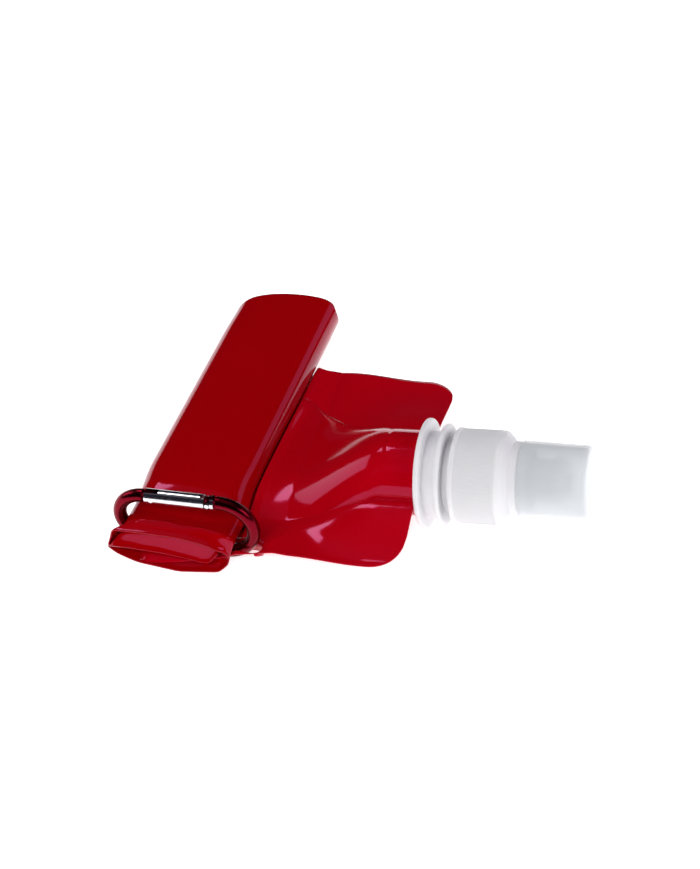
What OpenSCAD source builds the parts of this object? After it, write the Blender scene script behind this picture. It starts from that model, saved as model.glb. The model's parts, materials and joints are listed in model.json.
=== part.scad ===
// Folding water bottle: a film pouch folded flat, with a push-pull sports cap and a carabiner
// that holds the folded roll shut.
// X runs along the spout towards its outlet, Y across the pouch, Z up.

/* [Pouch] */
// Thickness of the film where its two plies are welded or pressed together
film_t = 0.5; // [0.3:0.05:0.8]
// Thickness of one ply of film in the open spout panel
ply_t = 0.4; // [0.25:0.05:0.6]
// Length of the spout panel, from its fold line to the spout's large flange
panel_l = 44; // [36:1:60]
// Distance from the spout axis to the near side seam
panel_near = 36.5; // [32:0.5:50]
// Distance from the spout axis to the far side seam
panel_far = 57; // [44:1:70]
// Height of the film's underside at the fold line
fold_z = 5; // [2:0.5:6]
// Radius of the panel's two outer corners
corner_r = 11; // [6:1:16]
// How far the panel's side seams hang below the spout axis, beside the spout
edge_drop = 9; // [0:0.5:12]

/* [Roll] */
// Width of the folded roll
roll_w = 37.5; // [33:0.5:48]
// Height of the folded roll
roll_h = 16; // [13.5:0.5:20]
// How far the roll's near end stands out past the near side seam
roll_near_out = 10.5; // [8:0.5:14]
// How far the roll's far end stands out past the far side seam
roll_far_out = 25; // [15:1:40]
// Angle by which the roll leans towards the spout at its far end
roll_skew = 3.3; // [0:0.1:4]
// Width of the strip of film between the roll and the fold line
strip_w = 12.5; // [12:0.5:20]
// Gap between layers of film that lie on each other
layer_gap = 0.3; // [0.2:0.05:0.6]
// Depth of the layer that is tucked under the top of the roll
tuck_depth = 2.6; // [1.5:0.1:4]
// Space between the left fold and the fold inside it
fold_space = 3.2; // [1:0.1:4]
// Distance from the roll's right side to the free bottom edge of the pouch
edge_back = 5.5; // [4:0.5:10]
// Width of the welded seam along that edge
seam_w = 4; // [2:0.5:6]
// Thickness of that seam
seam_t = 0.8; // [0.6:0.1:1.2]
// Depth of the gusset that is folded flat above the seam
gusset_w = 15; // [8:1:20]

/* [Spout] */
// Angle that the spout's outlet points above level
spout_tilt = 8.4; // [0:0.2:14]
// Diameter of the large flange
flange_d = 37; // [34:0.5:44]
// Diameter of the second flange
flange2_d = 34; // [30:0.5:40]
// Thickness of each flange
flange_t = 1.8; // [1.2:0.1:2.6]
// Distance between the middles of the two flanges
flange_pitch = 6.3; // [5:0.1:9]
// Diameter of the core between the flanges
waist_d = 28.5; // [26:0.5:31]
// Outside diameter of the tube that the film is welded to
tube_d = 27.5; // [24:0.5:30]
// Length of that tube behind the large flange
tube_l = 12.5; // [8:0.5:16]
// Diameter of the neck under its thread
neck_d = 24; // [20:0.5:25]
// Wall of the neck and of the tube
neck_wall = 1.8; // [1.2:0.1:2.4]
// Length of the neck beyond the second flange
neck_l = 17.8; // [14:0.2:22]
// Pitch of the cap thread
thread_pitch = 3.2; // [2.8:0.1:4]
// Height of the thread's ridge
thread_h = 1.1; // [0.7:0.1:1.2]
// Turns of thread on the neck, and in the cap
thread_turns = 1.5; // [1:0.25:2]
// Clearance between the cap and the neck
thread_fit = 0.3; // [0.2:0.05:0.5]

/* [Cap] */
// Wall of the screw cap's skirt
skirt_wall = 2.35; // [1.6:0.05:3]
// Gap between the second flange and the cap's skirt
cap_gap = 2.8; // [1.5:0.1:5]
// Length of the cap's conical shoulder
shoulder_l = 2.8; // [1.5:0.1:4]
// Thickness of the cap's end wall
cap_top_t = 2.7; // [2:0.1:4]
// Thickness of the sealing ring in the cap
liner_t = 1.2; // [0.8:0.1:2]
// Length of the step that the dust cover meets
step_l = 3; // [2:0.5:5]
// Length of the collar that the dust cover is pushed on to
collar_l = 3; // [2:0.5:5]
// Wall of that collar
collar_wall = 1.2; // [0.8:0.1:1.6]

/* [Nozzle] */
// Outside diameter of the spigot that the nozzle slides on
spigot_d = 11.2; // [10:0.2:13]
// Wall of the spigot
spigot_wall = 1.6; // [1:0.1:1.8]
// Length of the spigot beyond the step
spigot_l = 12; // [10:0.5:13]
// Diameter of the plug pin on the end of the spigot
plug_d = 4.4; // [3:0.2:4.8]
// Radius of the flow holes round the plug pin
flow_r = 0.7; // [0.5:0.1:0.8]
// Running clearance of the nozzle on the spigot and on the plug pin
nozzle_fit = 0.08; // [0.05:0.01:0.1]
// Wall of the nozzle
nozzle_wall = 1.5; // [1:0.1:2]
// Thickness of the nozzle's end
nozzle_tip_t = 2.8; // [2:0.2:4]
// How far the nozzle's grip ring stands out
grip_out = 1.2; // [0.6:0.1:1.8]

/* [Dust cover] */
// Outside diameter of the dust cover at its open rim
cover_d = 25.7; // [25:0.1:28]
// How much narrower the dust cover is at its closed end
cover_taper = 1; // [0:0.1:2]
// Length of the dust cover
cover_l = 22.5; // [22:0.5:30]
// Wall of the dust cover
cover_wall = 1; // [0.8:0.1:1.4]
// Radius of the dust cover's closed rim
cover_r = 2; // [1.5:0.1:3]
// Clearance between the dust cover and the collar
cover_fit = 0.25; // [0.15:0.05:0.4]

/* [Carabiner] */
// Diameter of the carabiner's rod
rod_d = 4.5; // [4:0.1:5]
// Bend radius of its small end, to the middle of the rod
small_r = 9.4; // [9.2:0.1:12]
// How much larger the bend at its large end is
large_more = 1.2; // [0.4:0.1:3]
// Distance from the near side seam to the carabiner
ring_in = 1.2; // [0.8:0.1:5]
// Clearance between the carabiner and the slot in the film that it comes up through
slot_fit = 0.85; // [0.4:0.1:1.2]
// How far the carabiner's small end stands out past the roll
ring_left_out = 4.55; // [4.3:0.05:7]
// How far the carabiner's large end stands out past the roll
ring_right_out = 8.35; // [7:0.05:11]
// Height of the carabiner above the surface that the roll lies on
ring_lift = 0.15; // [0.1:0.05:0.5]
// Outside diameter of the gate's tube
gate_d = 5; // [4.6:0.1:5.6]
// Diameter of the bore along the gate
gate_bore_d = 3; // [2.6:0.1:3.4]
// Diameter of the gate's pivot pin and of the nose pin
pin_d = 1.6; // [1.2:0.1:1.8]
// Thickness of the tongues on the ends of the rod
tongue_t = 1.8; // [1.4:0.1:2]
// Clearance round the tongues and the nose pin
gate_fit = 0.2; // [0.1:0.05:0.3]
// Radial clearance of the gate on its pivot pin
pivot_fit = 0.05; // [0.03:0.01:0.1]

/* [Hidden] */
$fn = 64;
film_color = [0.62, 0.01, 0.04];
spout_color = [0.93, 0.92, 0.92];
cover_color = [0.86, 0.88, 0.89, 0.6];
rod_color = [0.45, 0.03, 0.06];
steel_color = [0.75, 0.76, 0.78];

// Places along X, measured from the large flange
fold_x = -panel_l;
roll_right = fold_x - strip_w;
roll_left = roll_right - roll_w;
roll_mid = (roll_left + roll_right) / 2;
fold_gap = 0.15;

// Places along Y, measured from the spout axis
near_y = -panel_near;
roll_near = near_y - roll_near_out;
roll_far = panel_far + roll_far_out;
ring_y = near_y + ring_in;

// The roll is pinched flat where the carabiner goes round it
pinch_flat = 4.8;
pinch_end = 14;
base_lift = rod_d + ring_lift + 0.12;
pinch_lift = base_lift + 0.13;
pinch_dip = 1.4;
pinch_side = 0.09;

// The carabiner's outline is a small and a large circle joined by two tangents, the lower one level
large_r = small_r + large_more;
small_c = [roll_left - ring_left_out + rod_d / 2 + small_r, ring_lift + rod_d / 2 + small_r];
large_c = [roll_right + ring_right_out - rod_d / 2 - large_r, ring_lift + rod_d / 2 + large_r];
gate_slope = 2 * atan2(large_more, large_c[0] - small_c[0]);
gate_up = [-sin(gate_slope), cos(gate_slope)];
small_top = small_c + small_r * gate_up;
gate_run = large_c[0] - small_c[0];

// Places along the gate, measured from the end of the small bend
pivot_at = 3.3;
gate_from = pivot_at - 2.3;
gate_to = gate_run - 1.2;
nose_at = gate_to - 2.2;
nose_stub = gate_to + 0.6;
tongue_h = 3.6;
slot_beyond = tongue_h / 2 + 0.6;

// The rod's straight runs reach a little way into its bends, and are drawn that much thinner
join = 0.3;
straight_d = rod_d - 0.04;
plunger_from = pivot_at + tongue_h / 2 + 0.15;
plunger_l = 1.5;
spring_from = plunger_from + plunger_l + 0.05;
spring_l = 6;
spring_wire = 0.4;
spring_turns = 6;

// Places along the spout's axis, measured from the middle of the large flange.
// The axis meets that flange at the height that brings its rim down to z = 0.
spout_z = flange_d / 2 * cos(spout_tilt) + flange_t / 2 * sin(spout_tilt);
tube_end = -flange_t / 2 - tube_l;
neck_start = flange_pitch + flange_t / 2;
neck_end = neck_start + neck_l;
thread_start = neck_end - thread_pitch * (thread_turns + 0.9);
cap_start = neck_start + cap_gap;
cap_ceiling = neck_end + liner_t + 0.1;
shoulder_end = cap_ceiling + cap_top_t;
skirt_end = shoulder_end - shoulder_l;
step_end = shoulder_end + step_l;
spigot_end = step_end + spigot_l;
nozzle_start = step_end + 1;
nozzle_face = spigot_end + 0.4;
nozzle_end = nozzle_face + nozzle_tip_t;
cover_end = step_end + cover_l;

// Radii about the spout's axis
neck_r = neck_d / 2;
bore_r = neck_r - neck_wall;
tube_r = tube_d / 2;
cap_bore_r = neck_r + thread_h + thread_fit;
cap_r = cap_bore_r + skirt_wall;
cover_end_r = cover_d / 2 - cover_taper / 2;
collar_r = cover_d / 2 - cover_wall - cover_fit;
step_r = cover_d / 2 - 0.4;
spigot_r = spigot_d / 2;
plug_r = plug_d / 2;
nozzle_bore_r = spigot_r + nozzle_fit;
nozzle_r = nozzle_bore_r + nozzle_wall;

// Half widths of the thread's ridge, as shares of the pitch
root_share = 0.22;
crest_share = 0.11;

// The box that the whole bottle fills, which puts the origin at the middle of its base
box_left = small_c[0] - small_r - rod_d / 2;
box_right = (cover_end - cover_r) * cos(spout_tilt) + (cover_end_r - cover_r) * sin(spout_tilt) + cover_r;
origin_shift = [-(box_left + box_right) / 2, -(roll_near + roll_far) / 2, 0];

// Smooth step from 0 at a to 1 at b
function ease(a, b, v) = let (k = min(1, max(0, (v - a) / (b - a)))) k * k * (3 - 2 * k);
// Straight blend from p to q
function blend(p, q, k) = p + (q - p) * k;
// n + 1 even steps from a to b
function steps(a, b, n) = [for (i = [0:n]) blend(a, b, i / n)];
// 1 where the carabiner pinches the film, 0 away from it
function pinch(y) = 1 - ease(pinch_flat, pinch_end, abs(y - ring_y));
function arc(c, r, a, b, n) = [for (t = steps(a, b, n)) c + r * [cos(t), sin(t)]];

// One wall of film between two grids of points that have the same rows and columns
module film_wall(lower, upper) {
    rows = len(lower);
    cols = len(lower[0]);
    count = rows * cols;
    under = [for (i = [0:rows - 2], j = [0:cols - 2], k = [0, 1])
        let (a = i * cols + j) k == 0 ? [a, a + cols, a + cols + 1] : [a, a + cols + 1, a + 1]];
    over = [for (f = under) [f[2] + count, f[1] + count, f[0] + count]];
    rim = concat([for (j = [0:cols - 1]) j],
                 [for (i = [1:rows - 1]) i * cols + cols - 1],
                 [for (j = [cols - 2:-1:0]) (rows - 1) * cols + j],
                 [for (i = [rows - 2:-1:1]) i * cols]);
    sides = [for (k = [0:len(rim) - 1], half = [0, 1])
        let (a = rim[k], b = rim[(k + 1) % len(rim)])
        half == 0 ? [a, b, b + count] : [a, b + count, a + count]];
    polyhedron([for (grid = [lower, upper], row = grid, p = row) p], concat(under, over, sides));
}

// Columns of points across the film, closer together where it is pinched
pinch_cols = concat([ring_y - pinch_flat - 1.8, ring_y - pinch_flat],
                    steps(ring_y + pinch_flat, ring_y + pinch_end, 4), [ring_y + 45]);

// Side seams of the film: straight beside the spout, and flared out under the roll.
// The far one stays straight up to the roll.
seam_turn = 1.7;
function flare(x, from) = x > from ? 0 : 1 - pow((x - roll_left) / (from - roll_left), seam_turn);
function near_seam(x) = blend(near_y, roll_near, flare(x, fold_x));
function far_seam(x) = blend(panel_far, roll_far, flare(x, roll_right - 1));

// The roll leans towards the spout, and the film under it turns with it up to the fold line
function skewed(x, y) =
    x + (y - ring_y) * tan(roll_skew) * (1 - ease(roll_right, fold_x, x));

// Underside of the film that the roll lies on: it goes over the carabiner and up to the fold line
climb_from = 3.5;
climb_to = 4;
function base_z(x, y) =
    max(base_lift * pinch(y), fold_z * ease(roll_right - climb_from, roll_right + climb_to, x));
// It starts where the roll's left fold ends
function base_x(x, y) = x < roll_mid ? pinched([left_c[0], 0], y)[0] + fold_gap : skewed(x, y);

module base_film() {
    xs = concat([left_c[0], roll_right - 8], steps(roll_right - climb_from, roll_right + climb_to, 5),
                [fold_x - fold_gap]);
    over_rod = ring_y + pinch_flat;
    grid = [for (x = xs)
        [for (y = concat(steps(near_seam(x), over_rod, 3),
                         [for (i = [3:len(pinch_cols) - 1]) pinch_cols[i]], [far_seam(x)]))
            [base_x(x, y), y, base_z(x, y)]]];
    slot_r = rod_d / 2 + slot_fit;
    slot_from = large_c[0] + slot_r;
    // The film crosses the large bend at this height, where the bend is narrower than at its middle
    film_at = large_c[1] - base_lift - film_t;
    slot_to = large_c[0] + sqrt(pow(large_r + rod_d / 2, 2) - pow(film_at, 2)) + slot_fit - slot_r;
    color(film_color) translate(origin_shift)
        difference() {
            film_wall(grid, [for (row = grid) [for (p = row) p + [0, 0, film_t]]]);
            // Slot that the carabiner's large end comes up through
            for (x = [slot_from, slot_to]) translate([x, ring_y, 0]) cylinder(r = slot_r, h = roll_h);
            translate([slot_from, ring_y - slot_r, 0]) cube([slot_to - slot_from, 2 * slot_r, roll_h]);
        }
}

// A point of the roll's cross-section, moved to where the pinch puts it at y
function pinched(p, y) =
    let (k = pinch(y), low = pinch_lift * k, high = roll_h - pinch_dip * k)
    [skewed(roll_left, y) - roll_left + roll_mid + (p[0] - roll_mid) * (1 - pinch_side * k), y,
     low + p[1] * (high - low) / roll_h];

module rolled_sheet(inner, outer) {
    ys = concat([roll_near], pinch_cols, [roll_far]);
    translate(origin_shift)
        film_wall([for (p = inner) [for (y = ys) pinched(p, y)]],
                  [for (p = outer) [for (y = ys) pinched(p, y)]]);
}

// The cross-section of the rolled film: left fold, top, right fold, lower layer, inner fold, tuck
left_r = roll_h / 2;
left_c = [roll_left + left_r, left_r];
right_low = film_t + layer_gap;
right_r = (roll_h - right_low) / 2;
right_c = [roll_right - right_r, roll_h - right_r];
tuck_top = roll_h - tuck_depth;
inner_r = (tuck_top - right_low) / 2;
inner_c = [roll_left + fold_space + inner_r, tuck_top - inner_r];
edge_x = roll_right - edge_back;
function roll_outline(inset) = concat(arc(left_c, left_r - inset, 270, 90, 10),
                                      arc(right_c, right_r - inset, 90, -90, 10),
                                      arc(inner_c, inner_r - inset, 270, 90, 8),
                                      [[edge_x - seam_w, tuck_top - inset]]);

module rolled_film() {
    color(film_color) rolled_sheet(roll_outline(film_t), roll_outline(0));
}

module bottom_seam() {
    xs = steps(edge_x - seam_w, edge_x, 1);
    top = tuck_top + (seam_t - film_t) / 2;
    color(film_color) rolled_sheet([for (x = xs) [x, top - seam_t]], [for (x = xs) [x, top]]);
}

module bottom_gusset() {
    xs = steps(edge_x - seam_w - 0.3 - gusset_w, edge_x - seam_w - 0.3, 2);
    top = tuck_top - film_t - layer_gap;
    color(film_color) rolled_sheet([for (x = xs) [x, top - film_t]], [for (x = xs) [x, top]]);
}

// Middle surface of the spout panel: it rises from the fold line to the spout's axis
panel_end = -flange_t / 2 - 0.4;
weld_step = 18;
weld_r = tube_r / cos(weld_step / 2) + 0.02;
weld_reach = weld_r / cos(35);
function cubic(k, p, q, m, n) =
    p * (1 + 2 * k) * (1 - k) * (1 - k) + m * k * (1 - k) * (1 - k)
    + q * k * k * (3 - 2 * k) - n * k * k * (1 - k);
function panel_z(x) =
    let (rise = tan(spout_tilt), span = tube_end - fold_x, top = spout_z + tube_end * rise)
    x > tube_end ? spout_z + x * rise
    : cubic((x - fold_x) / span, fold_z + film_t / 2, top, span * 0.25, span * rise);

// The film beside the spout hangs down towards its side seams
function hang(x, y) =
    let (seam = y < 0 ? panel_near : panel_far)
    edge_drop * ease(fold_x, tube_end, x) * ease(weld_reach, seam, abs(y));

// How far each ply stands off that surface, over the spout's tube and behind it
function tube_bulge(y) =
    let (a = abs(y)) a < weld_r * cos(35) ? sqrt(weld_r * weld_r - a * a)
    : max(0, (weld_reach - a) / tan(35));
function bulge(x, y) = ply_t / 8 + tube_bulge(y) * ease(fold_x + 6, tube_end - 1, x);

function panel_corner(x) =
    let (k = x - (panel_end - corner_r)) k > 0 ? corner_r - sqrt(corner_r * corner_r - k * k) : 0;
function panel_ys(x) =
    let (near = near_y + panel_corner(x), far = far_seam(x) - panel_corner(x))
    concat(steps(near, -weld_reach, 4), [for (a = [180:-weld_step:0]) weld_r * cos(a)],
           steps(weld_reach, far, 4));

// One ply of the spout panel, on side 1 above the middle surface or side -1 below it
module spout_ply(side) {
    xs = concat([fold_x + fold_gap], steps(fold_x + 6, tube_end - 1, 6),
                [for (k = [0, 0.4, 0.7, 0.9, 1]) blend(tube_end, panel_end, k)]);
    up = [-sin(spout_tilt), 0, cos(spout_tilt)];
    inner = [for (x = xs) [for (y = panel_ys(x))
        [x, y, panel_z(x) - hang(x, y)] + side * bulge(x, y) * up]];
    outer = [for (row = inner) [for (p = row) p + [0, 0, side * ply_t]]];
    color(film_color) translate(origin_shift)
        if (side > 0) film_wall(inner, outer);
        else film_wall(outer, inner);
}
module front_ply() { spout_ply(1); }
module back_ply() { spout_ply(-1); }

// Puts its children on the spout's axis, with Z along the axis from the large flange
module on_spout() {
    translate(origin_shift + [0, 0, spout_z]) rotate([0, 90 - spout_tilt, 0]) children();
}

// Profile of a rounded rim of radius r that is t thick and starts at s
function rim(r, s, t) = arc([r - t / 2, s + t / 2], t / 2, -90, 90, 8);

// A ridge that winds up round the axis. Its root is buried in the wall that carries it.
module thread_ridge(root_r, crest_r, start) {
    n = 20 * thread_turns;
    root_w = thread_pitch * root_share;
    crest_w = thread_pitch * crest_share;
    section = [[root_r, -root_w], [root_r, root_w], [crest_r, crest_w], [crest_r, -crest_w]];
    order = crest_r > root_r ? [0, 1, 2, 3] : [3, 2, 1, 0];
    points = [for (i = [0:n], k = order)
        let (a = 360 * thread_turns * i / n, p = section[k])
        [p[0] * cos(a), p[0] * sin(a), start + p[1] + thread_pitch * a / 360]];
    sides = [for (i = [0:n - 1], k = [0:3], half = [0, 1])
        let (a = 4 * i + k, b = 4 * i + (k + 1) % 4)
        half == 0 ? [a, b + 4, b] : [a, a + 4, b + 4]];
    ends = [[0, 1, 2], [0, 2, 3], [4 * n, 4 * n + 2, 4 * n + 1], [4 * n, 4 * n + 3, 4 * n + 2]];
    polyhedron(points, concat(sides, ends));
}

module spout_fitment() {
    color(spout_color) on_spout() {
        rotate_extrude() polygon(concat(
            [[tube_r - neck_wall, tube_end], [tube_r, tube_end], [tube_r, -flange_t / 2]],
            rim(flange_d / 2, -flange_t / 2, flange_t),
            [[waist_d / 2, flange_t / 2], [waist_d / 2, flange_pitch - flange_t / 2]],
            rim(flange2_d / 2, flange_pitch - flange_t / 2, flange_t),
            [[neck_r, neck_start], [neck_r, neck_end], [bore_r, neck_end], [bore_r, 0],
             [tube_r - neck_wall, -flange_t / 2]]));
        thread_ridge(neck_r - 0.3, neck_r + thread_h, thread_start);
    }
}

module cap_liner() {
    color("gainsboro") on_spout() translate([0, 0, neck_end + 0.05]) difference() {
        cylinder(r = cap_bore_r - 0.3, h = liner_t);
        translate([0, 0, -1]) cylinder(r = bore_r - 0.2, h = liner_t + 2);
    }
}

module screw_cap() {
    flow_at = (plug_r + spigot_r - spigot_wall) / 2;
    collar_end = step_end + collar_l;
    color(spout_color) on_spout() {
        rotate_extrude() polygon([
            [cap_bore_r, cap_start], [cap_r, cap_start], [cap_r, skirt_end], [step_r, shoulder_end],
            [step_r, step_end], [collar_r, step_end], [collar_r, collar_end],
            [collar_r - collar_wall, collar_end], [collar_r - collar_wall, shoulder_end],
            [spigot_r, shoulder_end], [spigot_r, spigot_end], [spigot_r - spigot_wall, spigot_end],
            [spigot_r - spigot_wall, cap_ceiling], [cap_bore_r, cap_ceiling]]);
        thread_ridge(cap_bore_r + 0.3, neck_r + thread_fit, thread_start - thread_pitch / 2);
        // End of the spigot, with flow holes round the plug pin
        translate([0, 0, spigot_end - 1.2]) difference() {
            cylinder(r = spigot_r - spigot_wall / 2, h = 1.2);
            for (a = [0:45:315]) rotate(a) translate([flow_at, 0, -1]) cylinder(r = flow_r, h = 4, $fn = 24);
        }
        translate([0, 0, spigot_end - 1.2]) cylinder(r = plug_r, h = nozzle_end - spigot_end + 1);
    }
}

module nozzle() {
    hole_r = plug_r + nozzle_fit;
    grip_r = nozzle_r + grip_out;
    color(spout_color) on_spout() rotate_extrude() polygon([
        [nozzle_bore_r, nozzle_start], [nozzle_r + 0.6, nozzle_start], [nozzle_r + 0.6, nozzle_start + 1.2],
        [nozzle_r, nozzle_start + 2], [nozzle_r, nozzle_face - 2.6], [grip_r, nozzle_face - 1.4],
        [grip_r, nozzle_face], [nozzle_r - 1, nozzle_end], [hole_r, nozzle_end], [hole_r, nozzle_face],
        [nozzle_bore_r, nozzle_face]]);
}

module dust_cover() {
    inner_r = cover_r - cover_wall;
    rim_r = collar_r + cover_fit;
    color(cover_color) on_spout() rotate_extrude() polygon(concat(
        [[rim_r, step_end], [cover_d / 2, step_end]],
        arc([cover_end_r - cover_r, cover_end - cover_r], cover_r, 0, 90, 8),
        [[0, cover_end], [0, cover_end - cover_wall]],
        arc([cover_end_r - cover_r, cover_end - cover_r], inner_r, 90, 0, 6)));
}

// Puts its children in the carabiner's plane, with X along it and Y up
module on_ring() {
    translate(origin_shift + [0, ring_y, 0]) rotate([90, 0, 0]) children();
}

// Puts its children on the gate, with X along it from the end of the small bend
module on_gate() {
    on_ring() translate([small_top[0], small_top[1], 0]) rotate(gate_slope) children();
}

module rod_bend(c, r, from, to) {
    translate([c[0], c[1], 0]) rotate(from) rotate_extrude(angle = to - from)
        translate([r, 0]) circle(d = rod_d, $fn = 32);
}

module along_gate(from, length, diameter) {
    translate([from, 0, 0]) rotate([0, 90, 0]) cylinder(d = diameter, h = length, $fn = 32);
}

module across_gate(at, diameter, length) {
    translate([at, 0, -length / 2]) cylinder(d = diameter, h = length, $fn = 24);
}

module carabiner_body() {
    color(rod_color) {
        on_ring() {
            rod_bend(small_c, small_r, 90 + gate_slope, 270);
            translate([small_c[0], small_c[1] - small_r, 0])
                along_gate(-join, large_c[0] - small_c[0] + 2 * join, straight_d);
            rod_bend(large_c, large_r, -90, 90 + gate_slope);
        }
        on_gate() difference() {
            union() {
                // Tongue that the gate turns on
                intersection() {
                    translate([-1, -tongue_h / 2, -tongue_t / 2]) cube([pivot_at + 1, tongue_h, tongue_t]);
                    along_gate(-1, pivot_at + 1, straight_d);
                }
                across_gate(pivot_at, tongue_h, tongue_t);
                // Nose, with the tongue that the gate closes on
                along_gate(nose_stub, gate_run - nose_stub + join, straight_d);
                translate([nose_at, -tongue_h / 2, -tongue_t / 2])
                    cube([nose_stub - nose_at + 1, tongue_h, tongue_t]);
                across_gate(nose_at, tongue_h, tongue_t);
            }
            for (x = [pivot_at, nose_at]) across_gate(x, pin_d, gate_d);
        }
    }
}

module carabiner_gate() {
    slot_w = tongue_t + 2 * gate_fit;
    notch_w = pin_d + 2 * gate_fit;
    bore_to = spring_from + spring_l + 0.05;
    color(steel_color) on_gate() difference() {
        along_gate(gate_from, gate_to - gate_from, gate_d);
        along_gate(pivot_at, bore_to - pivot_at, gate_bore_d);
        across_gate(pivot_at, pin_d + 2 * pivot_fit, gate_d + 2);
        // Slots that clear the two tongues
        translate([gate_from - 1, -gate_d, -slot_w / 2])
            cube([pivot_at + slot_beyond - gate_from + 1, 2 * gate_d, slot_w]);
        translate([nose_at - slot_beyond, -gate_d, -slot_w / 2])
            cube([gate_to - nose_at + slot_beyond + 1, 2 * gate_d, slot_w]);
        // Notch that the nose pin drops into
        translate([nose_at - notch_w / 2, -notch_w / 2, -gate_d]) cube([notch_w, gate_d, 2 * gate_d]);
    }
}

module gate_pivot_pin() {
    color(steel_color) on_gate() across_gate(pivot_at, pin_d, gate_d - 0.2);
}

module nose_pin() {
    color(steel_color) on_gate() across_gate(nose_at, pin_d, gate_d - 0.4);
}

module gate_spring() {
    r = gate_bore_d / 2 - spring_wire / 2 - 0.1;
    n = 12 * spring_turns;
    climb = spring_l - spring_wire;
    half = spring_wire / 2;
    points = [for (i = [0:n], k = [0:3])
        let (a = 360 * spring_turns * i / n, q = r + half * cos(90 * k))
        [spring_from + half + climb * i / n + half * sin(90 * k), q * cos(a), q * sin(a)]];
    sides = [for (i = [0:n - 1], k = [0:3], part = [0, 1])
        let (a = 4 * i + k, b = 4 * i + (k + 1) % 4)
        part == 0 ? [a, b + 4, b] : [a, a + 4, b + 4]];
    ends = [[0, 1, 2], [0, 2, 3], [4 * n, 4 * n + 2, 4 * n + 1], [4 * n, 4 * n + 3, 4 * n + 2]];
    color(steel_color) on_gate() polyhedron(points, concat(sides, ends));
}

module spring_plunger() {
    color(steel_color) on_gate() along_gate(plunger_from, plunger_l, gate_bore_d - 0.2);
}

base_film();
rolled_film();
bottom_seam();
bottom_gusset();
front_ply();
back_ply();
spout_fitment();
cap_liner();
screw_cap();
nozzle();
dust_cover();
carabiner_body();
carabiner_gate();
gate_pivot_pin();
nose_pin();
gate_spring();
spring_plunger();
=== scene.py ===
# %% [markdown]
# # A folding water bottle, rolled up and clipped shut
#
# The bottle is a flat pouch of glossy red film with a moulded spout. Folded away, the pouch
# is rolled into a bundle, a small wire carabiner holds the bundle shut, and the spout panel
# sticks out at one side with its screw cap and clear dust cover.
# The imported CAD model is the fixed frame: everything below is made round it, in metres.

# %% The frame, and the few tools that every piece uses
import json
import math

import bmesh
import bpy
import numpy as np
from mathutils import Matrix, Vector

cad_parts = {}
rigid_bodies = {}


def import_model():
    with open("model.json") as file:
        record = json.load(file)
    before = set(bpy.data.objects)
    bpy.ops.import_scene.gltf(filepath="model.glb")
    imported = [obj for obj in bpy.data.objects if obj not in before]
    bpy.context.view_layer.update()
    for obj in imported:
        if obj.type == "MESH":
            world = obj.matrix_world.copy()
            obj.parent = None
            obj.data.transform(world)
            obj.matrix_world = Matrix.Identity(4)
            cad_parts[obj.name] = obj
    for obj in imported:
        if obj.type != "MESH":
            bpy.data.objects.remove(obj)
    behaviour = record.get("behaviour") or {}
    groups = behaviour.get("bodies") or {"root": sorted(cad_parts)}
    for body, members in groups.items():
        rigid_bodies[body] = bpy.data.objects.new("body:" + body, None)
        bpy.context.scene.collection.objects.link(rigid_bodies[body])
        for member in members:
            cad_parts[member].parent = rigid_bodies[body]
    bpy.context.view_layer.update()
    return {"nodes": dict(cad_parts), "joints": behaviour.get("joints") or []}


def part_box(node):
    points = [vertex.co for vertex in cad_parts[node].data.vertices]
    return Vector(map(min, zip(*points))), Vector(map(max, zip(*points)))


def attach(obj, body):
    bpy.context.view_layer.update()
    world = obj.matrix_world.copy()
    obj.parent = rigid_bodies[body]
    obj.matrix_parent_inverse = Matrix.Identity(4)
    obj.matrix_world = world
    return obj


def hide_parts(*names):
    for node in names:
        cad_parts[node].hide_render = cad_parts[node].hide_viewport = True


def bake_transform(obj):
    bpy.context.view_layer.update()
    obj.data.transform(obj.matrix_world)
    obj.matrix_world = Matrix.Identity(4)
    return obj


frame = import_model()
MM = 0.001

# %% [markdown]
# ## Where things are
#
# The cap turns about the spout's own axis, so the cap's joint says where the spout is.
# All sizes below are millimetres measured from the point on the table under the middle of
# the spout's large flange: X along the spout, Y across the pouch, Z up.

# %% The spout's axis, from the cap's joint
JOINT_OUT = 20  # the cap's joint sits this far along the axis from the middle of the flange
cap_turn = next(j for j in frame["joints"] if j["name"] == "cap_turn")
axis = Vector(cap_turn["axis"]).normalized()
flange_mid = Vector(cap_turn["pos_m"]) - axis * JOINT_OUT * MM
foot = np.array([flange_mid.x, flange_mid.y, 0.0])
spout_z = flange_mid.z / MM
rise = axis.z / axis.x
tilt = math.asin(axis.z)


def to_frame(points):
    """Millimetres from the foot of the flange to metres in the row frame."""
    return np.asarray(points, float) * MM + foot


def from_frame(corner):
    return (np.array(corner) - foot) / MM


roll_low, roll_high = (from_frame(c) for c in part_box("rolled_film"))
ring_low, ring_high = (from_frame(c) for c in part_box("carabiner_body"))
print(f"axis {spout_z:.1f} mm up, tilted {math.degrees(tilt):.1f} degrees")
print("roll from", roll_low.round(1), "to", roll_high.round(1))

# %% [markdown]
# ### Sizes of the folded film
#
# The film has no straight edges to measure from, so its folds and seams are written down once
# here, and every shape below is worked out from them.

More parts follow.
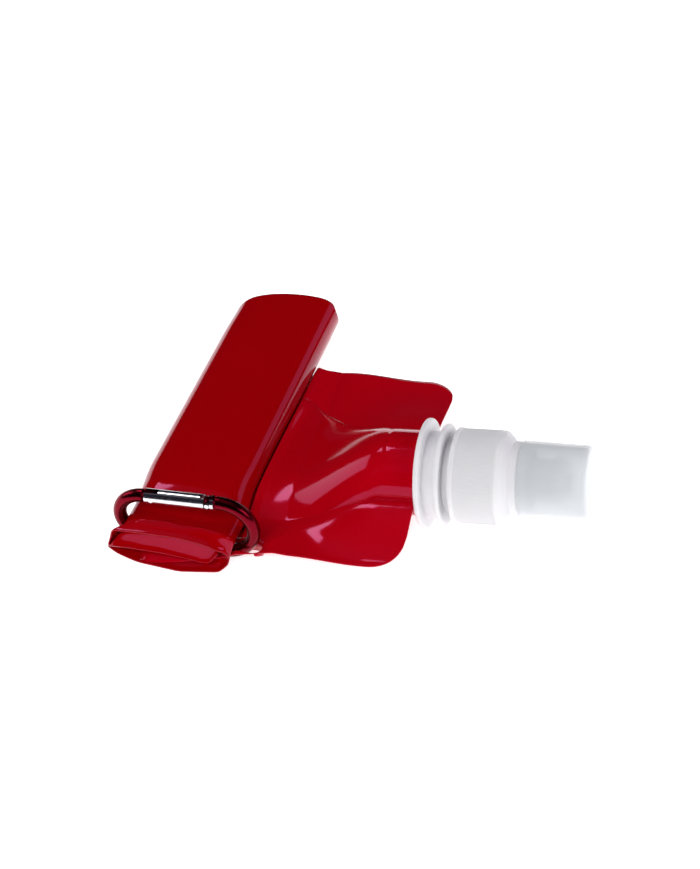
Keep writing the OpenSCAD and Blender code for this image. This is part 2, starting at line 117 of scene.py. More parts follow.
# %% The driving sizes of the folded film, in mm
FOLD_X = -44.0      # the line where the spout panel folds up
FOLD_Z = 5.25
ROLL_LEFT, ROLL_RIGHT = -94.0, -56.5
ROLL_NEAR, ROLL_FAR = roll_low[1], roll_high[1]
ROLL_H = roll_high[2]
SEAM_NEAR, SEAM_FAR = -36.5, 57.0
TUBE_END, PANEL_END = -13.4, -1.3
TUBE_R = 14.2       # outside of the film where it is welded round the spout's tube
CORNER_R = 11.0
EDGE_DROP = 9.0     # how far the side seams hang below the spout
RING_Y = (ring_low[1] + ring_high[1]) / 2
ROLL_MID = (ROLL_LEFT + ROLL_RIGHT) / 2
SKEW = math.tan(math.radians(3.3))


def ease(a, b, v):
    """Smooth step from 0 at a to 1 at b."""
    k = np.clip((np.asarray(v, float) - a) / (b - a), 0, 1)
    return k * k * (3 - 2 * k)


def mix(p, q, k):
    return p + (q - p) * k


# %% [markdown]
# ## Camera, floor and light
#
# The camera looks down at the bottle from the front and a little to the right. The floor is
# plain and pale. Gloss only shows what it mirrors, so the softboxes are what draws the film:
# each one is put where a chosen spot of the film mirrors it to the camera.

# %% Camera
VIEW_AZIMUTH, VIEW_ELEVATION = math.radians(13.944), math.radians(42.636)
VIEW_DISTANCE = 732.5
aim = Vector(to_frame((-32.32, 22.14, 9.04)))
back = Vector((math.sin(VIEW_AZIMUTH) * math.cos(VIEW_ELEVATION),
               -math.cos(VIEW_AZIMUTH) * math.cos(VIEW_ELEVATION), math.sin(VIEW_ELEVATION)))
camera_data = bpy.data.cameras.new("camera")
camera_data.lens, camera_data.sensor_width = 87.91, 36
camera_data.clip_start, camera_data.clip_end = 0.01, 50
camera = bpy.data.objects.new("camera", camera_data)
camera.location = aim + back * VIEW_DISTANCE * MM
camera.rotation_mode = "QUATERNION"
camera.rotation_quaternion = (-back).to_track_quat("-Z", "Y")
bpy.context.scene.collection.objects.link(camera)
bpy.context.scene.camera = camera
bpy.context.scene.view_settings.view_transform = "Standard"
print("camera at", [round(c, 3) for c in camera.location])


# %% [markdown]
# ### Tools for materials
#
# A material is a tree of nodes. Wiring each one by hand is long, so one small class lets
# sockets be added and multiplied like numbers, and one method makes any other node.

# %% One class for shader maths, and one for a material's nodes
class Sock:
    """A socket that can be used in a Python expression. Each operation adds its Math node."""

    def __init__(self, tree, socket):
        self.tree, self.socket = tree, socket

    def _math(self, operation, a, b):
        return self.tree.node("ShaderNodeMath", {"operation": operation}, {0: a, 1: b})

    def __add__(self, other): return self._math("ADD", self, other)
    def __radd__(self, other): return self._math("ADD", other, self)
    def __sub__(self, other): return self._math("SUBTRACT", self, other)
    def __rsub__(self, other): return self._math("SUBTRACT", other, self)
    def __mul__(self, other): return self._math("MULTIPLY", self, other)
    def __rmul__(self, other): return self._math("MULTIPLY", other, self)
    def __truediv__(self, other): return self._math("DIVIDE", self, other)
    def __rtruediv__(self, other): return self._math("DIVIDE", other, self)
    def __pow__(self, other): return self._math("POWER", self, other)


class Finish:
    """A material, and the one method that makes any node in it."""

    def __init__(self, name):
        self.material = bpy.data.materials.new(name)
        self.material.use_nodes = True
        self.nodes = self.material.node_tree.nodes
        self.links = self.material.node_tree.links
        self.nodes.clear()

    def node(self, kind, settings=None, inputs=None, out=0):
        made = self.nodes.new(kind)
        for key, value in (settings or {}).items():
            if key == "stops":
                ramp = made.color_ramp.elements
                while len(ramp) < len(value):
                    ramp.new(0.5)
                for element, (place, colour) in zip(ramp, value):
                    element.position, element.color = place, (*colour, 1)
            else:
                setattr(made, key, value)
        for key, value in (inputs or {}).items():
            if isinstance(value, Sock):
                self.links.new(value.socket, made.inputs[key])
            else:
                made.inputs[key].default_value = value
        return Sock(self, made.outputs[out])

    def place(self):
        return self.node("ShaderNodeTexCoord", out="Object")

    def noise(self, scale, detail=2.0, stretch=(1, 1, 1)):
        where = self.node("ShaderNodeMapping", {}, {"Vector": self.place(), "Scale": stretch})
        return self.node("ShaderNodeTexNoise", {},
                         {"Vector": where, "Scale": scale, "Detail": detail})

    def bump(self, height, strength, distance):
        return self.node("ShaderNodeBump", {}, {"Height": height, "Strength": strength,
                                                "Distance": distance})

    def blend(self, share, low, high):
        return self.node("ShaderNodeMix", {"data_type": "RGBA"},
                         {0: share, 6: low, 7: high}, out=2)

    def surface(self, **inputs):
        named = {k.replace("_", " "): v for k, v in inputs.items()}
        shader = self.node("ShaderNodeBsdfPrincipled", {}, named)
        self.node_out(shader)
        return self.material

    def node_out(self, shader):
        end = self.nodes.new("ShaderNodeOutputMaterial")
        self.links.new(shader.socket, end.inputs["Surface"])


print("shader tools ready")

# %% [markdown]
# ### Floor
#
# A bottle lies on a plain pale sheet. The floor glows a little by itself, so that it stays
# pale under soft light and shadows on it stay faint.

# %% Floor
floor_mesh = bpy.data.meshes.new("floor")
FLOOR_HALF = 3.0
floor_mesh.from_pydata([(sx * FLOOR_HALF, sy * FLOOR_HALF, -0.0002)
                        for sx, sy in ((-1, -1), (1, -1), (1, 1), (-1, 1))], [], [(0, 1, 2, 3)])
floor = bpy.data.objects.new("floor", floor_mesh)
bpy.context.scene.collection.objects.link(floor)
paper = Finish("pale_paper")
grain = paper.noise(900, 3)
floor_mesh.materials.append(paper.surface(
    Base_Color=paper.blend(grain, (0.88, 0.88, 0.88, 1), (0.92, 0.92, 0.92, 1)),
    Roughness=0.9, Specular_IOR_Level=0.1,
    Emission_Color=(1, 1, 1, 1), Emission_Strength=0.78))
print("floor", 2 * FLOOR_HALF, "m wide")

# %% [markdown]
# ### The room
#
# Gloss mirrors whatever is round it, so a bright room would wash the red out. The room is
# nearly black, and grey only straight overhead, which keeps the flat film deep red.

# %% The room: nearly black, and grey only straight overhead
world = bpy.data.worlds.new("room")
bpy.context.scene.world = world
world.use_nodes = True
wn, wl = world.node_tree.nodes, world.node_tree.links
wn.clear()
w_coord = wn.new("ShaderNodeTexCoord")
w_split = wn.new("ShaderNodeSeparateXYZ")
w_ramp = wn.new("ShaderNodeValToRGB")
w_back = wn.new("ShaderNodeBackground")
w_out = wn.new("ShaderNodeOutputWorld")
walls, overhead = w_ramp.color_ramp.elements
walls.position, walls.color = 0.84, (0.012, 0.010, 0.018, 1)
overhead.position, overhead.color = 1.0, (0.3, 0.29, 0.33, 1)
w_back.inputs["Strength"].default_value = 1.0
wl.new(w_coord.outputs["Generated"], w_split.inputs[0])
wl.new(w_split.outputs["Z"], w_ramp.inputs[0])
wl.new(w_ramp.outputs["Color"], w_back.inputs["Color"])
wl.new(w_back.outputs[0], w_out.inputs["Surface"])
print("room made")


# %% [markdown]
# ### Softboxes
#
# Big lamps give soft light. The two that only fill in are hidden from mirrors, so that they
# brighten the film without drawing a patch on it. The others show as the bands along the roll.

# %% Softboxes
def softbox(name, place, target, size, power, colour=(1, 1, 1)):
    light = bpy.data.lights.new(name, "AREA")
    light.shape, light.size, light.size_y = "RECTANGLE", size[0] * MM, size[1] * MM
    light.energy, light.color = power, colour
    lamp = bpy.data.objects.new(name, light)
    lamp.location = place
    lamp.rotation_mode = "QUATERNION"
    lamp.rotation_quaternion = (Vector(target) - Vector(place)).to_track_quat("-Z", "Y")
    bpy.context.scene.collection.objects.link(lamp)
    return lamp


def mirrored(name, spot, normal, distance, size, power, colour=(1, 1, 1)):
    """A softbox where a spot of film with this normal mirrors it to the camera."""
    spot, normal = Vector(spot), Vector(normal).normalized()
    to_camera = (camera.location - spot).normalized()
    out = 2 * to_camera.dot(normal) * normal - to_camera
    print(f"  {name}: direction {[round(c, 2) for c in out]}")
    return softbox(name, spot + out * distance * MM, spot, size, power, colour)


centre = Vector(to_frame((-35, 10, 10)))
key = softbox("key", centre + Vector((-0.25, -0.95, 1.15)), centre, (900, 700), 12.8)
key.visible_glossy = False  # lights the film without showing in its gloss
softbox("side_left", centre + Vector((-0.95, 0.05, 0.40)), centre, (500, 500), 2.0)
fill = softbox("fill_right", centre + Vector((1.1, 0.15, 0.75)), centre, (700, 700), 5.0)
fill.visible_glossy = False
softbox("side_right", centre + Vector((0.85, -0.35, 0.55)), centre, (500, 500), 2.1)
softbox("far_right", centre + Vector((0.80, 0.85, 0.38)), centre, (650, 420), 0.6,
        (0.85, 0.65, 1.0))
print("softboxes placed")

# %% [markdown]
# ## Red film
#
# The film is a laminate: a coloured ply under a clear gloss one. It is close to a mirror where
# it lies flat, and handling leaves very soft dents in it. The film gets two copies of its red:
# the thin panel's red is painted lighter, for the light from the pale floor that shines through
# it, and the many-layered roll's red is painted darker, as painted shade.


# %% Film finish
def film_finish(name, deep, bright, dents=0.35):
    f = Finish(name)
    cloud = f.noise(28, 2)
    dent = f.noise(42, 1.0, (1, 0.6, 1))
    haze = f.noise(350, 3)
    return f.surface(
        Base_Color=f.blend(cloud, (*deep, 1), (*bright, 1)),
        Roughness=0.07 + haze * 0.06,
        Specular_Tint=(0.9, 0.12, 0.55, 1), IOR=1.45,
        Coat_Weight=0.12, Coat_Roughness=0.03,
        Normal=f.bump(dent, dents, 0.0012))


# Painted light and shade: one film in two reds, darker on the roll for its shade, lighter on the
# panel for floor light shining through it
roll_film_painted_shade = film_finish("red_film_roll_painted_shade", (0.305, 0.0, 0.0008), (0.35, 0.0, 0.002), 0.12)
panel_film_painted_light = film_finish("red_film_panel_painted_light", (0.40, 0.0, 0.003), (0.46, 0.0, 0.008), 0.14)
print("film finishes made")


# %% [markdown]
# ### Sheets of film
#
# A sheet could be a flat grid with a Solidify modifier. Here both of its faces are worked out
# and joined at the rim, because the spout's tube pushes them apart by different amounts.

# %% Mesh helpers for film
def new_object(name, vertices, faces, material, smooth=True):
    mesh = bpy.data.meshes.new(name)
    mesh.from_pydata([tuple(v) for v in vertices], [], [tuple(f) for f in faces])
    mesh.materials.append(material)
    if smooth:
        mesh.shade_smooth()
    obj = bpy.data.objects.new(name, mesh)
    bpy.context.scene.collection.objects.link(obj)
    return obj


def shell(name, lower, upper, material):
    """A closed sheet between two grids of points. Both are arrays of rows by columns by 3."""
    rows, cols = lower.shape[:2]
    count = rows * cols
    index = np.arange(count).reshape(rows, cols)
    quads = np.stack([index[:-1, :-1], index[1:, :-1], index[1:, 1:], index[:-1, 1:]], -1)
    quads = quads.reshape(-1, 4)
    rim = np.concatenate([index[0, :-1], index[:-1, -1], index[-1, :0:-1], index[:0:-1, 0]])
    after = np.roll(rim, -1)
    sides = np.stack([rim, after, after + count, rim + count], -1)
    faces = np.concatenate([quads, quads[:, ::-1] + count, sides])
    points = to_frame(np.concatenate([lower.reshape(-1, 3), upper.reshape(-1, 3)]))
    obj = new_object(name, points, faces.tolist(), material)
    bm = bmesh.new()
    bm.from_mesh(obj.data)
    bmesh.ops.recalc_face_normals(bm, faces=bm.faces)
    bm.to_mesh(obj.data)
    bm.free()
    print(f"{name}: {len(obj.data.polygons)} faces")
    return obj


def apply_modifiers(obj):
    dg = bpy.context.evaluated_depsgraph_get()
    mesh = bpy.data.meshes.new_from_object(obj.evaluated_get(dg))
    obj.modifiers.clear()
    obj.data = mesh
    return obj


# %% [markdown]
# ## Spout panel
#
# The two plies of the pouch lie on the table at the fold, climb over the welded tube of the
# spout, and hang down at both sides to the side seams. Behind the tube they stay blown up a
# little, as a low cone that widens towards the roll and ends in a crease on its far side.
# The surface follows a rule, so it is worked out as a grid of heights.

# %% Heights of the spout panel
FILM_T = 0.5
PINCH_FLAT, PINCH_END = 4.8, 14.0
RING_SWELL = 1.1    # the film stands this much higher round the carabiner
ROLL_CLIMB = 1.6    # and climbs this far up the side of the roll
ROLL_SET = 1.7      # the roll lies this far left of its CAD outline, clear of the carabiner
BASE_LIFT = 4.77    # the film under the roll goes over the carabiner's lower run


def pinch(y):
    return 1 - ease(PINCH_FLAT, PINCH_END, np.abs(y - RING_Y))


def cubic(k, p, q, m, n):
    return (p * (1 + 2 * k) * (1 - k) ** 2 + m * k * (1 - k) ** 2
            + q * k * k * (3 - 2 * k) - n * k * k * (1 - k))


def middle_z(x):
    """Height of the panel's middle surface along the spout."""
    span = TUBE_END - FOLD_X
    curve = cubic(np.clip((x - FOLD_X) / span, 0, 1), FOLD_Z, spout_z + TUBE_END * rise,
                  span * 0.25, span * rise)
    return np.where(x > TUBE_END, spout_z + x * rise, curve)


def beside_roll(x, y):
    """X as the roll sees it: past the carabiner the roll lies ROLL_SET further left."""
    return x + ROLL_SET * ease(RING_Y + 6, RING_Y + 26, y)


def panel_middle(x, y):
    """Height of the middle of the film, without the swelling."""
    seam = np.where(y < 0, -SEAM_NEAR, SEAM_FAR)
    hang = (EDGE_DROP * ease(FOLD_X, TUBE_END, x)
            * ease(0, 1, (np.abs(y) - TUBE_R) / (seam - TUBE_R)))
    u = beside_roll(x, y)
    under_roll = (FOLD_Z - FILM_T / 2) * ease(ROLL_RIGHT - 3.0, ROLL_RIGHT + 0.6, u)
    flat = np.maximum(BASE_LIFT * pinch(y), under_roll) + FILM_T / 2
    beside_ring = (RING_SWELL * ease(ROLL_RIGHT - 3, ROLL_RIGHT + 2, x)
                   * ease(FOLD_X + 6, FOLD_X - 2, x) * pinch(y))
    climb = (ROLL_CLIMB * ease(ROLL_RIGHT + 4, ROLL_RIGHT - 0.1, u)
             * ease(ROLL_RIGHT - 0.9, ROLL_RIGHT - 0.1, u)
             * ease(6, 16, y - RING_Y) * ease(SEAM_FAR + 6, SEAM_FAR - 6, y))
    return np.where(x < FOLD_X, flat, middle_z(x) - hang) + beside_ring + climb


def swell_edges(x):
    """Where the swelling ends on its near and its far side."""
    behind = ease(TUBE_END + 1, -58, x)
    foot_w = 1.0 * ease(TUBE_END, TUBE_END - 5, x)
    return TUBE_R + 7 * behind + foot_w, TUBE_R + 24 * behind + foot_w


def swell(x, y):
    """How far the upper ply stands off the middle: round over the tube, a low cone behind it."""
    behind = ease(TUBE_END + 1, -52, x)
    near, far = swell_edges(x)
    t = np.clip(np.where(y < 0, -y / near, y / far), 0, 1)
    step = 1 - 0.02 * ease(TUBE_END, TUBE_END - 1.6, x)
    height = (TUBE_R * step * (1 - 0.78 * ease(TUBE_END + 2, -56, x))
              * ease(ROLL_RIGHT - 0.5, ROLL_RIGHT + 1.2, beside_roll(x, y)))
    power = np.where(y < 0, 0.5 + 0.9 * behind, 0.5 + 0.25 * behind)
    return height * np.clip(1 - t * t, 0, 1) ** power


def crumple(x, y):
    """Soft dents that folding left, in mm."""
    low_ridge = 0.16 * np.exp(-((y + 24 + 0.22 * (x + 30)) / 3.2) ** 2)
    return low_ridge * ease(-50, -38, x) * ease(-8, -18, x)


def upper_z(x, y):
    return panel_middle(x, y) + FILM_T / 2 + swell(x, y) + crumple(x, y)


# %% [markdown]
# ### One sheet for the panel
#
# The plies are welded at their edges, so they are made as one closed skin. Grid lines follow
# the foot of the swelling, which keeps its crease clean.

# %% The spout panel, with the strip of film that runs on under the roll
def flare(x, start):
    share = np.clip((np.maximum(x, ROLL_LEFT) - ROLL_LEFT) / (start - ROLL_LEFT), 0, 1)
    return 1 - share ** 1.7


def corner_cut(x):
    k = np.clip(x - (PANEL_END - CORNER_R), 0, CORNER_R)
    return CORNER_R - np.sqrt(CORNER_R ** 2 - k ** 2)


xs = np.concatenate([np.linspace(-86, ROLL_RIGHT - 4, 8, endpoint=False),
                     np.linspace(ROLL_RIGHT - 4, ROLL_RIGHT + 2, 14, endpoint=False),
                     np.linspace(ROLL_RIGHT + 2, TUBE_END - 3, 40, endpoint=False),
                     np.linspace(TUBE_END - 3, TUBE_END + 1, 12, endpoint=False),
                     TUBE_END + 1 + (PANEL_END - TUBE_END - 1) * np.linspace(0, 1, 18) ** 0.8])
near_edge = mix(SEAM_NEAR, ROLL_NEAR, flare(xs, FOLD_X)) + corner_cut(xs)
far_edge = mix(SEAM_FAR, ROLL_FAR - 4, flare(xs, ROLL_RIGHT - 3)) - corner_cut(xs)
near_foot, far_foot = swell_edges(xs)
near_foot = np.minimum(near_foot, -near_edge - 1)
side = np.linspace(0, 1, 30, endpoint=False)
turn = np.sin(np.radians(np.linspace(-90, 0, 40, endpoint=False)))
Y = np.concatenate([
    mix(near_edge[:, None], -near_foot[:, None], side[None, :]),
    near_foot[:, None] * turn[None, :],
    np.zeros((len(xs), 1)),
    -far_foot[:, None] * turn[None, ::-1],
    mix(far_edge[:, None], far_foot[:, None], side[None, ::-1])], 1)
X = np.repeat(xs[:, None], Y.shape[1], 1)
lean = (Y - RING_Y) * SKEW * (1 - ease(ROLL_RIGHT, FOLD_X, X))
blown = swell(X, Y)
upper = np.stack([X + lean, Y, upper_z(X, Y)], -1)
lower = np.stack([X + lean, Y, panel_middle(X, Y) - FILM_T / 2
                  - blown * ease(FOLD_X, TUBE_END, X)], -1)
lower[..., 2] = np.maximum(lower[..., 2], 0.02)
spout_panel = shell("spout_panel_film", lower, upper, panel_film_painted_light)

# %% [markdown]
# ### The carabiner's slot
#
# The wire passes through the film and has room to rock. A Boolean cuts the slot, and a low
# wall behind the wire stands for the film that is pressed down there.

# %% The slot in the film that the carabiner comes up through, and its turned-down rim
SLOT_R = 3.3
slot_from, slot_to = ring_high[0] - 10.95, ring_high[0] - 2.75


def stadium(height):
    turn = np.radians(np.linspace(90, 270, 16))
    left = [(slot_from + SLOT_R * math.cos(a), RING_Y + SLOT_R * math.sin(a)) for a in turn]
    right = [(slot_to - SLOT_R * math.cos(a), RING_Y - SLOT_R * math.sin(a)) for a in turn]
    return [(x, y, height) for x, y in left + right]


cutter_points = to_frame(stadium(-3) + stadium(14))
n = len(cutter_points) // 2
cutter = new_object("slot_cutter", cutter_points,
                    [list(range(n))[::-1], list(range(n, 2 * n))]
                    + [[i, (i + 1) % n, n + (i + 1) % n, n + i] for i in range(n)],
                    panel_film_painted_light, False)
cut = spout_panel.modifiers.new("slot", "BOOLEAN")
cut.object, cut.operation, cut.solver = cutter, "DIFFERENCE", "EXACT"
apply_modifiers(spout_panel)
bpy.data.objects.remove(cutter)
angle = np.linspace(90, -70, 18)
turn = np.radians(angle)
wall = np.array([(slot_from + 1, RING_Y + SLOT_R)]
                + [(slot_to + SLOT_R * math.cos(a), RING_Y + SLOT_R * math.sin(a)) for a in turn])
outside = wall + np.sign(wall - [slot_to, RING_Y]) * 0.3
tops = panel_middle(wall[:, 0], wall[:, 1])
depth = np.interp(np.append(90, angle), [-70, -35, 0, 45, 90], [1.0, 1.8, 3.3, 5.0, 5.2])
collar = [np.column_stack([ring, z]) for ring, z in
          ((wall, tops - depth), (outside, tops - depth), (outside, tops), (wall, tops))]
bm = bmesh.new()
bm.from_mesh(spout_panel.data)
rings = [[bm.verts.new(to_frame(v)) for v in ring] for ring in collar]
for a, b in ((0, 1), (1, 2), (2, 3), (3, 0)):
    for i in range(len(wall) - 1):
        bm.faces.new((rings[a][i], rings[a][i + 1], rings[b][i + 1], rings[b][i]))
bm.faces.new([ring[0] for ring in rings])
bm.faces.new([ring[-1] for ring in rings][::-1])
bmesh.ops.recalc_face_normals(bm, faces=bm.faces)
bm.to_mesh(spout_panel.data)
bm.free()
spout_panel.data.shade_smooth()
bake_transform(spout_panel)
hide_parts("front_ply", "back_ply", "base_film")
print("slot cut, faces now", len(spout_panel.data.polygons))

# %% [markdown]
# ## Rolled film
#
# The rest of the pouch is folded left, over the top, down the right side, back to the left
# underneath, and tucked in again under the top. One sheet follows that path. It is full and
# round at its far end, pressed flat where the carabiner holds it, and fans out at its near
# end, where the edges of the layers show one behind the other.


# %% The path of the sheet round the roll
def path_through(points, at):
    """Smooth values at the shares `at`, through points given as (share, value, value, ...)."""
    points = np.array(points, float)
    fine = np.linspace(0, 1, 801)
    values = np.stack([np.interp(fine, points[:, 0], column) for column in points.T[1:]], -1)
    for _ in range(60):
        values[1:-1] = (values[:-2] + 2 * values[1:-1] + values[2:]) / 4
    return np.stack([np.interp(at, fine, values[:, i]) for i in range(values.shape[1])], -1)


def arc(c, r, a, b, n):
    t = np.radians(np.linspace(a, b, n))
    return np.stack([c[0] + r * np.cos(t), c[1] + r * np.sin(t)], -1)


LAYER = 0.8          # height of the lower layer above the film that the roll lies on
TUCK_TOP = ROLL_H - 2.6
left_r, right_r, inner_r = ROLL_H / 2, (ROLL_H - LAYER) / 2, (TUCK_TOP - LAYER) / 2
outline = np.concatenate([
    arc((ROLL_LEFT + left_r, left_r), left_r, 270, 90, 40),
    arc((ROLL_RIGHT - right_r, ROLL_H - right_r), right_r, 90, -90, 40),
    arc((ROLL_LEFT + 3.2 + inner_r, TUCK_TOP - inner_r), inner_r, 270, 90, 30),
    [[ROLL_RIGHT - 5.5, TUCK_TOP]]])
SHARES = np.concatenate([np.linspace(0, 0.16, 40), np.linspace(0.34, 0.5, 40),
                         np.linspace(0.66, 0.8, 30), [1.0]])
along = np.linspace(0, 1, 181)
full = path_through(np.column_stack([SHARES, outline]), along)

# The same path at the near end: share of the path, then x, y and z of the sheet's edge
fan = path_through([
    (0.00, -84.0, -44.0, 0.5), (0.05, -93.0, -44.6, 1.8), (0.09, -98.2, -44.7, 4.4),
    (0.13, -97.0, -44.4, 8.6), (0.16, -96.4, -44.3, 12.0), (0.22, -85.0, -44.0, 12.8),
    (0.28, -74.7, -43.4, 12.8), (0.32, -64.6, -43.3, 11.6), (0.355, -60.6, -43.4, 9.8),
    (0.385, -58.4, -42.4, 8.6), (0.42, -56.9, -42.0, 5.5), (0.46, -57.4, -42.4, 3.0),
    (0.50, -60.0, -44.6, 1.0), (0.58, -73.0, -47.0, 0.6), (0.66, -87.5, -46.8, 1.3),
    (0.70, -94.5, -45.8, 2.6), (0.735, -98.2, -45.0, 4.4), (0.77, -96.4, -45.7, 6.0),
    (0.82, -90.0, -46.0, 6.8), (0.88, -79.0, -45.4, 6.5), (0.95, -68.5, -44.5, 4.8),
    (0.98, -63.7, -43.8, 3.4), (1.00, -61.0, -42.8, 7.8)], along)

# %% [markdown]
# ### Wrapping the sheet
#
# The same path is used at every place along the roll, and only its height and width change:
# full at the far end, flat under the carabiner, fanned out at the near end.

# %% The rolled film
PINCH_LIFT, PINCH_DIP, PINCH_SIDE, RING_FILL = 4.9, 1.4, 0.03, 1.2
FAN_FROM = RING_Y - 4.2
CROWN, RIPPLE, RIPPLE_BEFORE = 0.45, 0.22, 4.4
nominal = np.concatenate([np.linspace(ROLL_NEAR, FAN_FROM + 1, 26, endpoint=False),
                          np.linspace(FAN_FROM + 1, RING_Y + 16, 36, endpoint=False),
                          np.linspace(RING_Y + 16, ROLL_FAR - 6, 44, endpoint=False),
                          np.linspace(ROLL_FAR - 6, ROLL_FAR, 12)])


def rolled(inset):
    """Grid of the sheet's surface, `inset` mm inside its outline."""
    turn = np.gradient(full, axis=0)
    turn /= np.linalg.norm(turn, axis=1)[:, None]
    inward = np.stack([turn[:, 1], -turn[:, 0]], -1)
    base = full + inward * inset
    fan_turn = np.gradient(fan[:, [0, 2]], axis=0)
    fan_turn /= np.linalg.norm(fan_turn, axis=1)[:, None]
    fan_in = fan[:, [0, 2]] + np.stack([fan_turn[:, 1], -fan_turn[:, 0]], -1) * inset
    y0 = np.repeat(nominal[None, :], len(along), 0)
    k = pinch(y0)
    low, high = PINCH_LIFT * k, ROLL_H - PINCH_DIP * k
    px, pz = base[:, :1], base[:, 1:]
    x = ROLL_MID + (px - ROLL_MID) * (1 - PINCH_SIDE * k) + (y0 - RING_Y) * SKEW
    x -= ROLL_SET * ease(RING_Y + 6, RING_Y + 26, y0)
    x += RING_FILL * k * ease(ROLL_MID, ROLL_RIGHT, px)
    z = low + pz * (high - low) / ROLL_H
    # a soft crown along the top, and the ripple that the carabiner presses into it
    top = ease(0.14, 0.2, along)[:, None] * ease(0.36, 0.3, along)[:, None]
    z += top * CROWN * np.sin(np.pi * (px - ROLL_LEFT) / (ROLL_RIGHT - ROLL_LEFT)) * (1 - k)
    wave = 1 + 0.9 * np.sin(px * 0.55 + 1.0)
    z += top * RIPPLE * np.exp(-((y0 - RING_Y + RIPPLE_BEFORE) / 1.0) ** 2) * wave
    near = 1 - ease(ROLL_NEAR, FAN_FROM, y0)
    x = mix(x, fan_in[:, :1], near)
    # the tucked layer keeps close under the top one, and drops only at its lip
    tuck = ease(0.735, 0.80, along)[:, None]
    under_top = np.interp(fan[:, 0], [-97, -85, -66, -61], [11.2, 11.9, 11.0, 8.8])[:, None] - inset
    lip = 1 - ease(ROLL_NEAR, ROLL_NEAR + 3.4, y0)
    z = mix(mix(z, fan_in[:, 1:], near), mix(mix(z, under_top, near), fan_in[:, 1:], lip), tuck)
    y = y0 + (fan[:, 1:2] - ROLL_NEAR) * (1 - ease(ROLL_NEAR, RING_Y - 3, y0))
    across = np.clip((px - ROLL_LEFT) / (ROLL_RIGHT - ROLL_LEFT), 0, 1)
    far_shift = 2 - 9 * (1 - across) ** 3 - 2.0 * ease(0.375, 0.40, along)[:, None]
    y = y + far_shift * ease(ROLL_FAR - 22, ROLL_FAR, y0)
    return np.stack([x, y, np.maximum(z, 0.05)], -1)


film_roll = shell("film_roll", rolled(FILM_T), rolled(0.0), roll_film_painted_shade)
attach(film_roll, "roll")
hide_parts("rolled_film", "bottom_seam", "bottom_gusset")

# %% [markdown]
# ### A softbox for the swelling
#
# A highlight shows only where the film's slope mirrors a lamp to the camera. The slope is
# worked out at one chosen spot of the swelling, and the lamp is placed to match it.

# %% The softbox that the swelling mirrors
def slope_normal(x, y, d=0.4):
    zx = (upper_z(x + d, y) - upper_z(x - d, y)) / (2 * d)
    zy = (upper_z(x, y + d) - upper_z(x, y - d)) / (2 * d)
    return (-float(zx), -float(zy), 1.0)


WINDOW_X, WINDOW_Y = -45.0, -9.5
window_spot = to_frame((WINDOW_X, WINDOW_Y, float(upper_z(WINDOW_X, WINDOW_Y))))
mirrored("window_low", window_spot, slope_normal(WINDOW_X, WINDOW_Y), 800, (130, 250), 0.75)

# %% [markdown]
# ## White mouldings
#
# The spout and its cap are injection moulded in milky polyethylene: satin, a little
# translucent, with a very fine haze. The spout, cap and cover are turned shapes, so each is a
# profile spun about the spout's axis, with the rounded rims that a moulding has.


# %% Finishes of the mouldings
def milky(name, low, high, roughness):
    f = Finish(name)
    cloud = f.noise(70, 2)
    haze = f.noise(1400, 3)
    return f.surface(
        Base_Color=f.blend(cloud, (*low, 1), (*high, 1)),
        Roughness=roughness + haze * 0.12,
        Subsurface_Weight=0.25, Subsurface_Radius=(0.9, 0.8, 0.8), Subsurface_Scale=0.003,
        IOR=1.5, Normal=f.bump(haze, 0.12, 0.0002))


white = milky("white_plastic", (0.74, 0.735, 0.76), (0.80, 0.79, 0.81), 0.3)
seal = milky("seal_rubber", (0.62, 0.62, 0.60), (0.68, 0.68, 0.66), 0.6)

clear = Finish("clear_plastic")
clear_haze = clear.noise(1200, 3)
edge_on = clear.node("ShaderNodeLayerWeight", {}, {"Blend": 0.35}, out=1)
clear_plastic = clear.surface(
    Base_Color=(0.80, 0.83, 0.85, 1), Roughness=0.16 + clear_haze * 0.12,
    Alpha=0.42 + edge_on * 0.5, IOR=1.45, Normal=clear.bump(clear_haze, 0.1, 0.0002))
print("mouldings' finishes made")

# %% [markdown]
# ### Turned shapes
#
# A profile spun about an axis could use a Screw modifier. Working the points out directly
# puts the piece straight onto the tilted axis, with its place in the mesh.

# %% Turned shapes
ACROSS = Vector((0, 1, 0))
UPWARD = axis.cross(ACROSS)


def rounded(corners, n=6):
    """A closed profile of (radius, along) corners, each with its own rounding radius."""
    points = []
    for i, (r, z, fillet) in enumerate(corners):
        here = np.array([r, z], float)
        before = np.array(corners[i - 1][:2], float) - here
        after = np.array(corners[(i + 1) % len(corners)][:2], float) - here
        if fillet == 0:
            points.append(here)
            continue
        u, v = before / np.linalg.norm(before), after / np.linalg.norm(after)
        half = math.acos(np.clip(u @ v, -1, 1)) / 2
        cut = fillet / math.tan(half)
        start, end = here + u * cut, here + v * cut
        for k in np.linspace(0, 1, n):
            points.append((1 - k) ** 2 * start + 2 * k * (1 - k) * here + k * k * end)
    return np.array(points)


def on_axis(radius, angle, along_axis):
    return (np.array(flange_mid)[None] + np.outer(along_axis, axis) * MM
            + np.outer(radius * np.cos(angle), UPWARD) * MM
            + np.outer(radius * np.sin(angle), ACROSS) * MM)


